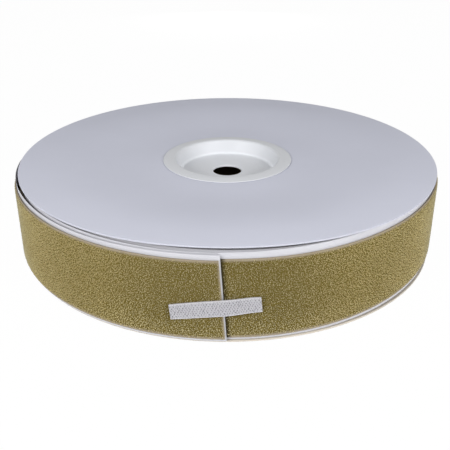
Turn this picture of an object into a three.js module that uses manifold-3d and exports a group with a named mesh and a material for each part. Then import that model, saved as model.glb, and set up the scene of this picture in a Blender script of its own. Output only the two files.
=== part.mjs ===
// A roll of self-adhesive loop tape, wound with its release liner on a card tube between two card
// discs. Moulded plugs hold the discs to the tube, and a short strip of hook tape holds the free end.
// Millimetres. The roll's axis is +Z, z = 0 is the surface that it lies on, and -Y is the side where
// the tape's cut end lies.

import * as THREE from 'three';
import { mergeVertices } from 'three/addons/utils/BufferGeometryUtils.js';
import Module from 'manifold-3d';

// Loop tape: the pile stands between two thinner woven selvedges.
const TAPE_WIDTH = 50.8;
const TAPE_THICKNESS = 1.2;
const SELVEDGE_WIDTH = 2.5;
const SELVEDGE_THICKNESS = 0.6;

// Release liner: wider than the tape, so that it shows at both edges and at the cut end.
const LINER_THICKNESS = 0.2;
const LINER_MARGIN_TOP = 2.6;
const LINER_MARGIN_BOTTOM = 1.4;
const LINER_MARGIN_END = 1;

// Winding: the outer turns are one spiral each of tape and liner, over the inner turns as one body.
// Behind the free end the last turn stands off a little, and on one side the turns have climbed.
// Winding angles are in degrees from the cut end, negative inward.
const WOUND_RADIUS = 149;
const SPIRAL_TURNS = 3;
const STEPS_PER_TURN = 60;
const TAIL_STEPS = 6;
const PEEL_STEPS = 4;
const SLACK = 1.2;
const SLACK_START = -150;
const CLIMB = 2.8;
const CLIMB_START = 8;
const CLIMB_TOP = 70;
const CLIMB_END = 270;

// Cut end of the tape: how far behind the front line its top corner and its foot lie.
const CUT_TOP_ARC = -4.8;
const CUT_FOOT_ARC = -1.4;

// Closing strip of hook tape: its ends' middle lies behind the front line, above the tape's lower edge,
// and between them it bows up a little.
const STRIP_LENGTH = 52;
const STRIP_WIDTH = 10;
const STRIP_THICKNESS = 0.9;
const STRIP_ARC = -6.6;
const STRIP_HEIGHT = 19.8;
const STRIP_TILT = 5.6;
const STRIP_BOW = 1.6;
const STRIP_RAMP = 20;
const STRIP_STEPS = 24;

// Card tube and card discs: the discs end inside the last turn, and each is bowed out at its rim, the
// lower one past its hub ring.
const CORE_BORE = 76;
const CORE_WALL = 4;
const CORE_SPARE = 1.3;
const FLANGE_INSET = 2.5;
const CARD_THICKNESS = 1;
const CLAMP_FLAT = 12;
const RIM_FLAT = 18;
const RIM_GAP = 0.3;
const HUB_LIFT = 0.3;
const BOW_STEPS = 5;

// Hub plug: a ring on the disc that rises to a rounded lip, round a dished cup that grips the tube's
// bore with its fins.
const RING_WIDTH = 8.5;
const RING_THICKNESS = 1.2;
const RING_EDGE = 0.4;
const LIP_RADIUS = 2;
const RECESS_DEPTH = 10.3;
const WALL_LEAN = 2.5;
const PLUG_WALL = 1.2;
const FLOOR_THICKNESS = 1.6;
const FLOOR_FILLET = 0.6;
const SPINDLE_BORE = 20;
const SLEEVE_LENGTH = 2.5;
const FIN_COUNT = 8;
const FIN_THICKNESS = 2;
const FIN_INSET = 0.4;
const FIN_LEAD_IN = 0.8;

// Clearance between pieces that lie against each other, and facets of the round pieces.
const SEAT = 0.3;
const ROUND_FACETS = 60;
const PLUG_FACETS = 40;
const ARC_STEPS = 3;
const GAP_POINTS = 200;

// Sizes that follow from these.
const PITCH = TAPE_THICKNESS + LINER_THICKNESS + 2 * SEAT;
const LINER_DEPTH = TAPE_THICKNESS + SEAT;
const UPPER_BOW = LINER_MARGIN_TOP + CLIMB + RIM_GAP - CORE_SPARE - SEAT;
const LOWER_BOW = Math.max(SEAT + RING_THICKNESS + HUB_LIFT, LINER_MARGIN_BOTTOM);
const TAPE_BOTTOM = CARD_THICKNESS + LOWER_BOW + SEAT;
const TAPE_TOP = TAPE_BOTTOM + TAPE_WIDTH;
const FLANGE_RADIUS = WOUND_RADIUS - FLANGE_INSET;
const CORE_LENGTH = TAPE_WIDTH + CORE_SPARE;
const CORE_RADIUS = CORE_BORE / 2;
const CORE_TOP = TAPE_BOTTOM + CORE_LENGTH;
const SLEEVE_RADIUS = CORE_RADIUS - SEAT;
const RING_RADIUS = SLEEVE_RADIUS + RING_WIDTH;
const STEP_ANGLE = 360 / STEPS_PER_TURN;
const TAIL_START = -TAIL_STEPS * STEP_ANGLE;
const PEEL_START = -PEEL_STEPS * STEP_ANGLE;
const SPIRAL_START = TAIL_START - 360 * SPIRAL_TURNS;
const SPIRAL_STEPS = SPIRAL_TURNS * STEPS_PER_TURN;
const FRONT = 270;

const wasm = await Module();
wasm.setup();

const radians = THREE.MathUtils.degToRad;
const smooth = (value, from, to) => THREE.MathUtils.smoothstep(value, from, to);
const point = (r, z) => new THREE.Vector2(r, z);

// A quarter round from one angle to another about a centre, in the plane of radius and height.
function arc(r, z, radius, from, to) {
  return Array.from({ length: ARC_STEPS + 1 }, (_, i) => {
    const angle = radians(from + ((to - from) * i) / ARC_STEPS);
    return point(r + radius * Math.cos(angle), z + radius * Math.sin(angle));
  });
}

// A closed profile of radius and height, turned about the roll's axis.
function turned(profile, facets) {
  const geometry = new THREE.LatheGeometry([...profile, profile[0]], facets);
  return geometry.rotateX(Math.PI / 2);
}

// Rings of points with the same outline, skinned one to the next and capped at both ends.
function lofted(rings, outline) {
  const count = outline.length;
  const last = (rings.length - 1) * count;
  const index = [];
  for (let ring = 0; ring < rings.length - 1; ring += 1) {
    for (let i = 0; i < count; i += 1) {
      const a = ring * count + i;
      const b = ring * count + ((i + 1) % count);
      index.push(a, b + count, b, a, a + count, b + count);
    }
  }
  for (const [a, b, c] of THREE.ShapeUtils.triangulateShape(outline, [])) {
    index.push(a, c, b);
    index.push(last + a, last + b, last + c);
  }
  const geometry = new THREE.BufferGeometry();
  geometry.setFromPoints(rings.flat());
  geometry.setIndex(index);
  return geometry.toNonIndexed();
}

// How far the last turn stands off: one smooth swell that ends at the root of the tail.
function slack(winding) {
  const share = THREE.MathUtils.clamp((winding - SLACK_START) / (TAIL_START - SLACK_START), 0, 1);
  return SLACK * Math.sin(Math.PI * share) ** 2;
}

// Radius of the pile's outer face at a winding angle.
const pileRadius = (winding) => WOUND_RADIUS + (PITCH * winding) / 360 + slack(winding);

// The turns climb towards the upper disc on the right-hand side and sink again round the back.
function climb(winding) {
  const around = THREE.MathUtils.euclideanModulo(winding, 360);
  return CLIMB * smooth(around, CLIMB_START, CLIMB_TOP) * (1 - smooth(around, CLIMB_TOP, CLIMB_END));
}

// A point of the winding: its angle, its depth inside the pile's face, and its height.
function woundPoint(winding, depth, z) {
  const angle = radians(FRONT + winding);
  const radius = pileRadius(winding) - depth;
  return new THREE.Vector3(radius * Math.cos(angle), radius * Math.sin(angle), z);
}

// Arc from the front line to the slanted cut at a height.
const cutArc = (z) => THREE.MathUtils.mapLinear(z, TAPE_BOTTOM, TAPE_TOP, CUT_FOOT_ARC, CUT_TOP_ARC);
const arcAngle = (length) => THREE.MathUtils.radToDeg(length / WOUND_RADIUS);

// Section of the tape, by depth and height: a flat back, a step down to each selvedge, and the pile.
const selvedgeDepth = TAPE_THICKNESS - SELVEDGE_THICKNESS;
const tapeSection = [
  point(TAPE_THICKNESS, TAPE_BOTTOM),
  point(selvedgeDepth, TAPE_BOTTOM),
  point(selvedgeDepth, TAPE_BOTTOM + SELVEDGE_WIDTH),
  point(0, TAPE_BOTTOM + SELVEDGE_WIDTH),
  point(0, TAPE_TOP - SELVEDGE_WIDTH),
  point(selvedgeDepth, TAPE_TOP - SELVEDGE_WIDTH),
  point(selvedgeDepth, TAPE_TOP),
  point(TAPE_THICKNESS, TAPE_TOP),
];

const linerSection = [
  point(LINER_DEPTH + LINER_THICKNESS, TAPE_BOTTOM - LINER_MARGIN_BOTTOM),
  point(LINER_DEPTH, TAPE_BOTTOM - LINER_MARGIN_BOTTOM),
  point(LINER_DEPTH, TAPE_TOP + LINER_MARGIN_TOP),
  point(LINER_DEPTH + LINER_THICKNESS, TAPE_TOP + LINER_MARGIN_TOP),
];

// Rings of a section along the spiral, a small gap after the angle where it starts.
function spiralRings(section, from, steps) {
  return Array.from({ length: steps + 1 }, (_, step) => {
    const winding = from + step * STEP_ANGLE + (step === 0 ? arcAngle(SEAT) : 0);
    return section.map((p) => woundPoint(winding, p.x, p.y + climb(winding)));
  });
}

// The outer turns, from the step on the inner turns to the root of the tail.
const spiral = (section) => spiralRings(section, SPIRAL_START, SPIRAL_STEPS);

// The stretch of tape that lifts with its liner, from the root of the tail to where the tape peels.
const tailRoot = () => lofted(spiralRings(tapeSection, TAIL_START, TAIL_STEPS - PEEL_STEPS), tapeSection);

// The free end of the tape or liner, with its last ring laid along the slanted cut.
function tail(section, start, steps, overhang) {
  const rings = spiralRings(section, start, steps - 1);
  const end = section.map((p) => woundPoint(arcAngle(cutArc(p.y) + overhang), p.x, p.y));
  return lofted([...rings, end], section);
}

// Least gap between one turn of a winding and the next, on points spaced along its section.
function leastGap(section) {
  const outline = new THREE.Path([...section, section[0]]);
  const rings = spiral(outline.getSpacedPoints(GAP_POINTS));
  let least = Infinity;
  for (let ring = 0; ring + STEPS_PER_TURN < rings.length; ring += 1) {
    for (const inner of rings[ring]) {
      for (const outer of rings[ring + STEPS_PER_TURN]) {
        least = Math.min(least, inner.distanceTo(outer));
      }
    }
  }
  return least;
}
console.log(`least gap of the tape to itself ${leastGap(tapeSection).toFixed(2)} mm`);
console.log(`least gap of the liner to itself ${leastGap(linerSection).toFixed(2)} mm`);

// The inner turns: a spiral outline round the tube, with a step where the outer turns start.
function innerTurns() {
  const under = LINER_DEPTH + LINER_THICKNESS + SEAT;
  const outline = Array.from({ length: STEPS_PER_TURN + 1 }, (_, step) => {
    const p = woundPoint(SPIRAL_START + step * STEP_ANGLE, under, 0);
    return point(p.x, p.y);
  });
  const shape = new THREE.Shape(outline);
  const hole = Array.from({ length: STEPS_PER_TURN }, (_, step) => {
    const angle = radians(step * STEP_ANGLE);
    const radius = CORE_RADIUS + CORE_WALL + SEAT;
    return point(radius * Math.cos(angle), radius * Math.sin(angle));
  });
  shape.holes.push(new THREE.Path(hole));
  return new THREE.ExtrudeGeometry(shape, { depth: TAPE_WIDTH, bevelEnabled: false });
}

// The card tube.
function coreTube() {
  const outer = CORE_RADIUS + CORE_WALL;
  const profile = [
    point(CORE_RADIUS, 0),
    point(outer, 0),
    point(outer, CORE_LENGTH),
    point(CORE_RADIUS, CORE_LENGTH),
  ];
  return turned(profile, ROUND_FACETS);
}

// A card disc, from z = 0 under its clamped middle: flat there, then bowed out to a flat rim.
function flange(bow) {
  const from = RING_RADIUS + CLAMP_FLAT;
  const to = FLANGE_RADIUS - RIM_FLAT;
  const bowed = Array.from({ length: BOW_STEPS + 1 }, (_, i) => {
    const r = THREE.MathUtils.lerp(from, to, i / BOW_STEPS);
    return point(r, bow * smooth(r, from, to));
  });
  const under = [point(CORE_RADIUS, 0), ...bowed, point(FLANGE_RADIUS, bow)];
  const over = under.map((p) => point(p.x, p.y + CARD_THICKNESS)).reverse();
  return turned([...under, ...over], ROUND_FACETS);
}

// A closed mesh as a solid for joining, and back again.
function toSolid(geometry) {
  const bare = geometry.clone();
  bare.deleteAttribute('normal');
  bare.deleteAttribute('uv');
  const merged = mergeVertices(bare);
  const vertProperties = new Float32Array(merged.attributes.position.array);
  const triVerts = new Uint32Array(merged.index.array);
  return new wasm.Manifold(new wasm.Mesh({ numProp: 3, vertProperties, triVerts }));
}

function fromSolid(solid) {
  const mesh = solid.getMesh();
  const geometry = new THREE.BufferGeometry();
  geometry.setAttribute('position', new THREE.BufferAttribute(mesh.vertProperties, 3));
  geometry.setIndex(new THREE.BufferAttribute(mesh.triVerts, 1));
  return geometry;
}

// A hub plug, from z = 0 under its ring: the sloped ring, the rounded lip, the leaning wall and the floor.
const floorTop = RING_THICKNESS - RECESS_DEPTH;
const floorUnder = floorTop - FLOOR_THICKNESS;
const lipRadius = SLEEVE_RADIUS - PLUG_WALL;
const floorRadius = lipRadius - WALL_LEAN;

function plugCup() {
  const profile = [
    point(SPINDLE_BORE / 2, floorUnder),
    point(floorRadius + PLUG_WALL, floorUnder),
    point(SLEEVE_RADIUS, -SLEEVE_LENGTH),
    point(SLEEVE_RADIUS, 0),
    ...arc(RING_RADIUS - RING_EDGE, 0, RING_EDGE, 0, 90),
    ...arc(lipRadius + LIP_RADIUS, RING_THICKNESS - LIP_RADIUS, LIP_RADIUS, 90, 180),
    point(floorRadius, floorTop + FLOOR_FILLET),
    point(floorRadius - FLOOR_FILLET, floorTop),
    point(SPINDLE_BORE / 2, floorTop),
  ];
  return turned(profile, PLUG_FACETS);
}

// One fin outside the cup, rooted in its wall: it fills the wedge to the tube's bore, and its foot is
// drawn in to enter the bore.
function plugFin() {
  const edge = SLEEVE_RADIUS - FIN_INSET;
  const foot = floorUnder + FLOOR_THICKNESS / 2;
  const shape = new THREE.Shape([
    point(floorRadius + PLUG_WALL / 2, foot),
    point(edge - FIN_LEAD_IN, foot),
    point(edge, foot + FIN_LEAD_IN),
    point(edge, -SLEEVE_LENGTH / 2),
    point(SLEEVE_RADIUS - PLUG_WALL / 2, -SLEEVE_LENGTH / 2),
  ]);
  const fin = new THREE.ExtrudeGeometry(shape, { depth: FIN_THICKNESS, bevelEnabled: false });
  return fin.translate(0, 0, -FIN_THICKNESS / 2).rotateX(Math.PI / 2);
}

function hubPlug() {
  let solid = toSolid(plugCup());
  for (let i = 0; i < FIN_COUNT; i += 1) {
    const fin = plugFin().rotateZ(radians((360 * i) / FIN_COUNT));
    solid = solid.add(toSolid(fin));
  }
  return fromSolid(solid);
}

// The closing strip: it lies on the tail, passes over the cut and steps down to the turn beneath.
function closingStrip() {
  const tilt = radians(STRIP_TILT);
  const section = [
    point(-STRIP_WIDTH / 2, 0),
    point(-STRIP_WIDTH / 2, STRIP_THICKNESS),
    point(STRIP_WIDTH / 2, STRIP_THICKNESS),
    point(STRIP_WIDTH / 2, 0),
  ];
  const rings = Array.from({ length: STRIP_STEPS + 1 }, (_, step) => {
    const along = STRIP_LENGTH * (step / STRIP_STEPS - 0.5);
    const bow = STRIP_BOW * (1 - (2 * (step / STRIP_STEPS) - 1) ** 2);
    return section.map(({ x: across, y: lift }) => {
      const arcLength = STRIP_ARC + along * Math.cos(tilt) - across * Math.sin(tilt);
      const z = TAPE_BOTTOM + STRIP_HEIGHT + bow + along * Math.sin(tilt) + across * Math.cos(tilt);
      const past = arcLength - cutArc(z) - LINER_MARGIN_END - SEAT;
      const drop = PITCH * smooth(past, 0, STRIP_RAMP);
      return woundPoint(arcAngle(arcLength), drop - SEAT - lift, z);
    });
  });
  return lofted(rings, section);
}

const roll = new THREE.Group();

function add(name, geometry, z, material) {
  const mesh = new THREE.Mesh(geometry, new THREE.MeshStandardMaterial(material));
  mesh.name = name;
  mesh.position.z = z;
  roll.add(mesh);
  return mesh;
}

const whiteCard = { color: '#d3d5dc', roughness: 0.55, metalness: 0 };
const brownCard = { color: '#a58a68', roughness: 0.9, metalness: 0 };
const whitePlastic = { color: '#e4e6e4', roughness: 0.4, metalness: 0 };
const loopTape = { color: '#8d7d50', roughness: 0.95, metalness: 0 };
const linerFilm = { color: '#ececf2', roughness: 0.45, metalness: 0 };
const hookStrip = { color: '#d6d6dc', roughness: 0.6, metalness: 0 };

add('core_tube', coreTube(), TAPE_BOTTOM, brownCard);
add('upper_flange', flange(UPPER_BOW), CORE_TOP + SEAT, whiteCard);
add('lower_flange', flange(LOWER_BOW), TAPE_BOTTOM - SEAT, whiteCard).rotation.x = Math.PI;
add('upper_hub_plug', hubPlug(), CORE_TOP + CARD_THICKNESS + 2 * SEAT, whitePlastic);
add('lower_hub_plug', hubPlug(), TAPE_BOTTOM - CARD_THICKNESS - 2 * SEAT, whitePlastic).rotation.x = Math.PI;
add('inner_turns', innerTurns(), TAPE_BOTTOM, loopTape);
add('loop_tape_turns', lofted(spiral(tapeSection), tapeSection), 0, loopTape);
add('liner_turns', lofted(spiral(linerSection), linerSection), 0, linerFilm);
add('tape_tail_root', tailRoot(), 0, loopTape);
add('tape_tail', tail(tapeSection, PEEL_START, PEEL_STEPS, 0), 0, loopTape);
add('liner_tail', tail(linerSection, TAIL_START, TAIL_STEPS, LINER_MARGIN_END), 0, linerFilm);
add('closing_strip', closingStrip(), 0, hookStrip);

export default roll;
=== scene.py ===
"""A roll of self-adhesive loop tape on its card spool, dressed for rendering.

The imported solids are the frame: each piece takes its size and place from them, and is worked out as a numpy
surface in metres. Run as a script, the file registers its panel and calls its own operators in order.
"""

import math

import bpy
import numpy as np
from bpy.props import FloatProperty, FloatVectorProperty, PointerProperty
from mathutils import Matrix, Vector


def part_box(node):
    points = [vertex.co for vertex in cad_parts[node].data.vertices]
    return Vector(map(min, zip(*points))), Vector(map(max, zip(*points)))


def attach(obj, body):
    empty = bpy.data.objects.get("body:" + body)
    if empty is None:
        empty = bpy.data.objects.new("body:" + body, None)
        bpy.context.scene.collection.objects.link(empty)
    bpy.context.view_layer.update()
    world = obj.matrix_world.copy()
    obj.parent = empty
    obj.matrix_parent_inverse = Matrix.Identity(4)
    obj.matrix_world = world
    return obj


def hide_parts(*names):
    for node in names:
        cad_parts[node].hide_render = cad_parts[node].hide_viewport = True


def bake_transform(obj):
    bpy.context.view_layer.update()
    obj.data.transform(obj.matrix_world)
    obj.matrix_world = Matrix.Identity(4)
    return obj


bl_info = {
    "name": "Loop Tape Roll",
    "version": (1, 0, 0),
    "blender": (4, 5, 0),
    "location": "3D View > Sidebar > Tape Roll",
    "description": "Builds a roll of loop tape with its liner, its card spool and its closing strip",
    "category": "Object",
}

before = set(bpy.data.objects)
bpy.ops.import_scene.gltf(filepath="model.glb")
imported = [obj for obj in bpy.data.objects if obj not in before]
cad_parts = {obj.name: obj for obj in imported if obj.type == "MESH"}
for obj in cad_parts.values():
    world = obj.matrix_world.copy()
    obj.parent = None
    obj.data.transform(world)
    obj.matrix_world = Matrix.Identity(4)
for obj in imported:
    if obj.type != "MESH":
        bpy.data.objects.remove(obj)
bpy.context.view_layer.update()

MM = 0.001

# Places along the winding, in degrees from the cut end and negative inward. The cut end faces FRONT.
FRONT = 270.0
SPIRAL_START = -1116.0
SLACK_START = -150.0
TAIL_START = -36.0
PEEL_START = -24.0

# Degrees of each turn over which it climbs and comes down again, and the turns over which that fades inward.
CLIMB_START = 8.0
CLIMB_TOP = 70.0
CLIMB_END = 270.0
CLIMB_FADE_TURNS = 8

# Turns inward over which the liner's upper edge rises, and between which it falls again.
LINER_RISE_TURNS = 1.2
LINER_FALL_TURNS = (2.4, 2.8)

# How finely surfaces are divided: steps along the winding in degrees, columns across it or along a radius,
# and steps of a circle or an arc.
GROUND_STEP = 0.75
GROUND_COLUMNS = 41
BURIED_STEP = 2.0
BURIED_COLUMNS = 13
INNER_STEP = 5.0
INNER_COLUMNS = 7
LINER_STEP = 1.0
LINER_COLUMNS = 9
DISC_COLUMNS = 40
ROUND_STEPS = 300
ARC_STEPS = 8

# Sums of sines, each as size, waves a turn and phase in radians: how the discs' rims wander up and down, and
# how the liner's upper edge ripples up and down and sways in and out.
RIM_WANDER = ((1, 2, 0.6), (1, 3, 2.1), (0.5, 5, 0))
LINER_RIPPLE = ((1, 4.3, math.radians(80)),)
LINER_SWAY = ((2, 2.5, math.radians(-15)), (0.5, 7.7, 0))

# The upper disc's lift at the front: the power that makes it narrow, and the share by which the rest sags.
WARP_POWER = 8
WARP_SAG = 0.32

# The pile is made in parts, each with its own seed from SEED on.
PILE_PARTS = 6
SEED = 7

# How far loops stray from their rows, as a share of the spacing: at the front, where the strip has tousled
# them, and past these degrees from it.
TOUSLED = 1.25
COMBED = 0.75
COMBED_FROM = (10, 75)

# Least and greatest of what chance gives a loop: shares of the usual width and height, the fullness of pile
# that it needs, and the share of the pressed stretch that it stays out of. At the tape's edges loops have
# only a share of the usual height.
LOOP_WIDTHS = (0.7, 1.3)
LOOP_HEIGHTS = (0.75, 1.25)
LOOP_NEEDS = (0.1, 0.9)
LOOP_CLEARS = (0.15, 1)
EDGE_LOOP_HEIGHT = 0.4

# Angles of the points round a thread, in degrees.
THREAD_SIDES = (0, 120, 240)

# Tints of the pile, which are painted light and shade: painted shade round the closing strip, painted light
# past it at the sides and a greyer painted shade on the far side, with the distances from the strip, in strip
# lengths, over which they change.
PAINTED_FRONT_SHADE = (0.89, 0.88, 0.8)
PAINTED_SIDE_LIGHT = (1.05, 1.05, 1.04)
PAINTED_SIDE_LIGHT_FROM = (0.5, 1.6)
PAINTED_FAR_SHADE = (0.66, 0.72, 0.98)
PAINTED_FAR_SHADE_FROM = (2.5, 3.6)

# Heights over the tape's lower edge between which the loops are painted paler, as painted light from below.
PAINTED_LIGHT_FROM = 16 * MM
PAINTED_LIGHT_BELOW = 3 * MM

# Dimples on the closing strip's back: distance from one to the next along it and across it.
DIMPLE_ALONG = 1.6 * MM
DIMPLE_ACROSS = 1.3 * MM


def low(node, axis):
    """Lowest place of a solid along an axis, in metres."""
    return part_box(node)[0][axis]


def high(node, axis):
    """Highest place of a solid along an axis, in metres."""
    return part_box(node)[1][axis]


def linear(hexa):
    """A colour written as six hex digits of a screen colour, as linear red, green and blue."""
    shares = [int(hexa[i : i + 2], 16) / 255 for i in (0, 2, 4)]
    return tuple(s / 12.92 if s <= 0.04045 else ((s + 0.055) / 1.055) ** 2.4 for s in shares)


def shade(colour_value, factor):
    """A colour made lighter or darker."""
    return tuple(min(1.0, channel * factor) for channel in colour_value)


def length(name, description, default):
    """A length that the panel shows in the scene's unit."""
    return FloatProperty(name=name, description=description, default=default, unit="LENGTH", precision=4)


def colour(name, description, default):
    """A colour that the panel shows as a swatch."""
    return FloatVectorProperty(
        name=name, description=description, default=linear(default), subtype="COLOR", size=3, min=0, max=1
    )


def amount(name, description, default):
    """A plain number."""
    return FloatProperty(name=name, description=description, default=default, precision=4)


class TapeSettings(bpy.types.PropertyGroup):
    """Sizes and colours of the tape, its liner and the closing strip."""

    base: length("Lower edge", "Height of the tape's lower edge", low("inner_turns", 2))
    width: length("Width", "Width of the tape", high("inner_turns", 2) - low("inner_turns", 2))
    thickness: length("Thickness", "Thickness of the tape with its pile", 1.2 * MM)
    selvedge_width: length("Selvedge width", "Width of the edge, to where the pile is half full", 1.1 * MM)
    selvedge_thickness: length("Selvedge thickness", "Thickness of the woven edge", 0.6 * MM)
    pile_shoulder: length("Pile shoulder", "Width over which the pile falls to the selvedge", 2.6 * MM)
    pile_height: length("Pile height", "Height of the loops above the woven ground", 0.5 * MM)
    loop_spacing: length("Loop spacing", "Distance from one loop to the next", 0.85 * MM)
    loop_reach: length("Loop reach", "Half the width of a loop", 0.34 * MM)
    loop_thread: length("Loop thread", "Radius of a loop's thread", 0.17 * MM)
    wound_radius: length("Wound radius", "Radius of the pile at the cut end", 149 * MM)
    slack: length("Slack", "How far the last turn stands off", 1.2 * MM)
    climb: length("Climb", "How far the turns have climbed on one side", 2.8 * MM)
    cut_top: length("Cut, top", "Place of the cut's top corner along the turn", -4.8 * MM)
    cut_foot: length("Cut, foot", "Place of the cut's foot along the turn", -1.4 * MM)
    liner_thickness: length("Liner thickness", "Thickness of the release liner", 0.2 * MM)
    liner_top: length("Liner margin, top", "How far the liner stands above the tape", 2.6 * MM)
    liner_bottom: length("Liner margin, bottom", "How far the liner hangs below the tape", 1.9 * MM)
    liner_step: length("Liner step", "How much higher the liner stands with each turn inward", 1.4 * MM)
    liner_inner: length("Liner margin, inside", "How far the liner stands above the inner turns", 1 * MM)
    liner_slip: amount("Liner slip", "Share of the turns' climb that the liner doesn't follow", 0.35)
    liner_end: length("Liner margin, end", "How far the liner runs past the cut", 0.85 * MM)
    # The pressed widths also set how far the painted shadow reaches on the turn beneath.
    press_top: length("Pressed pile, top", "Width of the pile pressed flat past the cut's top", 4 * MM)
    press_foot: length("Pressed pile, foot", "Width of the pile pressed flat past the cut's foot", 2.2 * MM)
    liner_ripple: length("Liner ripple", "How far the liner's free edges wander", 0.3 * MM)
    clearance: length("Clearance", "Gap between pieces that lie on each other", 0.3 * MM)
    strip_length: length("Strip length", "Length of the closing strip", 52 * MM)
    strip_width: length("Strip width", "Width of the closing strip", 10 * MM)
    strip_thickness: length("Strip thickness", "Thickness of the closing strip", 0.9 * MM)
    strip_arc: length("Strip place", "Place of the strip's middle along the turn", -6.6 * MM)
    strip_height: length("Strip height", "Height of the strip's middle above the tape's edge", 19.8 * MM)
    strip_tilt: amount("Strip tilt", "Slope of the strip in degrees", 5.6)
    strip_bow: length("Strip bow", "How far the strip's middle bows up", 1.6 * MM)
    strip_waist: amount("Strip taper", "Share of its width that the strip loses towards its ends", 0.07)
    strip_ramp: length("Strip ramp", "Length over which the strip steps down past the cut", 20 * MM)
    pile_dark: colour("Pile, dark", "Woven ground under the loops", "5f521f")
    pile_colour: colour("Pile", "Darker loops", "a0905a")
    pile_light: colour("Pile, light", "Paler loops", "c9bb8b")
    pile_tousled: colour("Pile, tousled", "Paler loops round the closing strip", "d8cda8")
    selvedge_colour: colour("Selvedge", "Woven edge of the tape", "8f8471")
    adhesive_colour: colour("Adhesive", "Adhesive back of the tape", "cfc6a6")
    liner_colour: colour("Liner", "Release liner", "bdbdc3")
    strip_colour: colour("Strip", "Back of the closing strip", "a09fa4")


class SpoolSettings(bpy.types.PropertyGroup):
    """Sizes and colours of the card discs, the card tube and the hub plugs."""

    disc_radius: length("Disc radius", "Radius of the card discs", high("upper_flange", 0))
    card: length("Card", "Thickness of the card", 1 * MM)
    card_edge: length("Card edge", "Rounding of the card's cut edge", 0.2 * MM)
    card_wave: length("Card wave", "How far a disc's rim wanders up and down", 0.15 * MM)
    card_warp: length("Card warp", "How far the upper disc's rim has lifted at the front", 1.1 * MM)
    clamp_flat: length("Clamped flat", "Flat width of a disc round its plug", 12 * MM)
    rim_flat: length("Rim flat", "Flat width of a disc at its rim", 18 * MM)
    core_radius: length("Core radius", "Outer radius of the card tube", high("core_tube", 0))
    core_wall: length("Core wall", "Thickness of the card tube", 4 * MM)
    ring_radius: length("Ring radius", "Radius of the hub plug's ring", high("upper_hub_plug", 0))
    ring_width: length("Ring width", "Width of the ring outside the plug's sleeve", 8.5 * MM)
    ring_thickness: length("Ring thickness", "Height of the ring at its lip", 1.2 * MM)
    ring_edge: length("Ring edge", "Height of the ring's outer edge", 0.4 * MM)
    lip: length("Lip", "Rounding of the lip into the recess", 2 * MM)
    recess: length("Recess", "Depth of the recess below the lip", 10.3 * MM)
    wall_lean: length("Wall lean", "How far the recess narrows towards its floor", 2.5 * MM)
    plug_wall: length("Plug wall", "Thickness of the plug's wall", 1.2 * MM)
    floor: length("Floor", "Thickness of the recess floor", 1.6 * MM)
    floor_fillet: length("Floor fillet", "Rounding between floor and wall", 1.6 * MM)
    bore: length("Spindle bore", "Diameter of the spindle bore", 20.8 * MM)
    sleeve: length("Sleeve", "Length of the sleeve under the ring", 2.5 * MM)
    fin: length("Fin", "Thickness of a fin", 2 * MM)
    fin_inset: length("Fin inset", "How far a fin's edge lies inside the sleeve", 0.4 * MM)
    fin_lead: length("Fin lead-in", "Chamfer at a fin's foot", 0.8 * MM)
    card_colour: colour("Card", "White face of the discs", "d3d5e2")
    card_core: colour("Card core", "Uncoated side and edge of the discs", "c2baae")
    plastic_colour: colour("Plastic", "Moulded hub plugs", "d2d4d8")
    # Darker than bare kraft: part of this colour is painted shade for the inside of the tube.
    shaded_kraft_colour: colour("Kraft", "Card tube", "64503a")


class StageSettings(bpy.types.PropertyGroup):
    """Camera, lights and floor."""

    camera_back: length("Camera distance", "Distance of the camera in front of the axis", 473.77 * MM)
    camera_height: length("Camera height", "Height of the camera above the floor", 234.94 * MM)
    aim_height: length("Aim height", "Height on the roll's axis that the aim is reckoned from", 60 * MM)
    aim_right: amount("Aim, right", "Slope of the aim to the right of that place", -0.0034)
    aim_up: amount("Aim, up", "Slope of the aim above that place", -0.10215)
    roll: amount("Roll", "Roll of the camera in degrees", -0.2063)
    lens: amount("Lens", "Focal length in millimetres on a 36 mm sensor", 55.56)
    sky: amount("Sky", "Strength of the even light from all round", 0.26)
    key: amount("Key", "Power of each lamp in front", 3.45)
    fill: amount("Fill", "Power of each lamp at the sides", 1.6)
    back: amount("Back", "Power of the low lamp behind", 3.0)
    floor_colour: colour("Floor", "Floor and background", "ffffff")


def between(first, second, share):
    """From the first value to the second as share goes from 0 to 1."""
    return first + (second - first) * share


def smoothstep(value, start, end):
    """Smooth rise from 0 at start to 1 at end: t times t times (3 - 2t)."""
    t = np.clip((value - start) / (end - start), 0, 1)
    return t * t * (3 - 2 * t)


def sines(angle, terms):
    """A sum of sines of an angle: size times sin(waves times angle + phase)."""
    return sum(size * np.sin(waves * angle + phase) for size, waves, phase in terms)


def unit(vector):
    """The vector's direction, with length 1."""
    return vector / np.linalg.norm(vector)


def arc(r, z, radius, start, end):
    """Points of an arc about (r, z), from one angle in degrees to another."""
    angles = np.radians(np.linspace(start, end, ARC_STEPS + 1))
    return np.stack([r + radius * np.cos(angles), z + radius * np.sin(angles)], axis=1)


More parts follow.
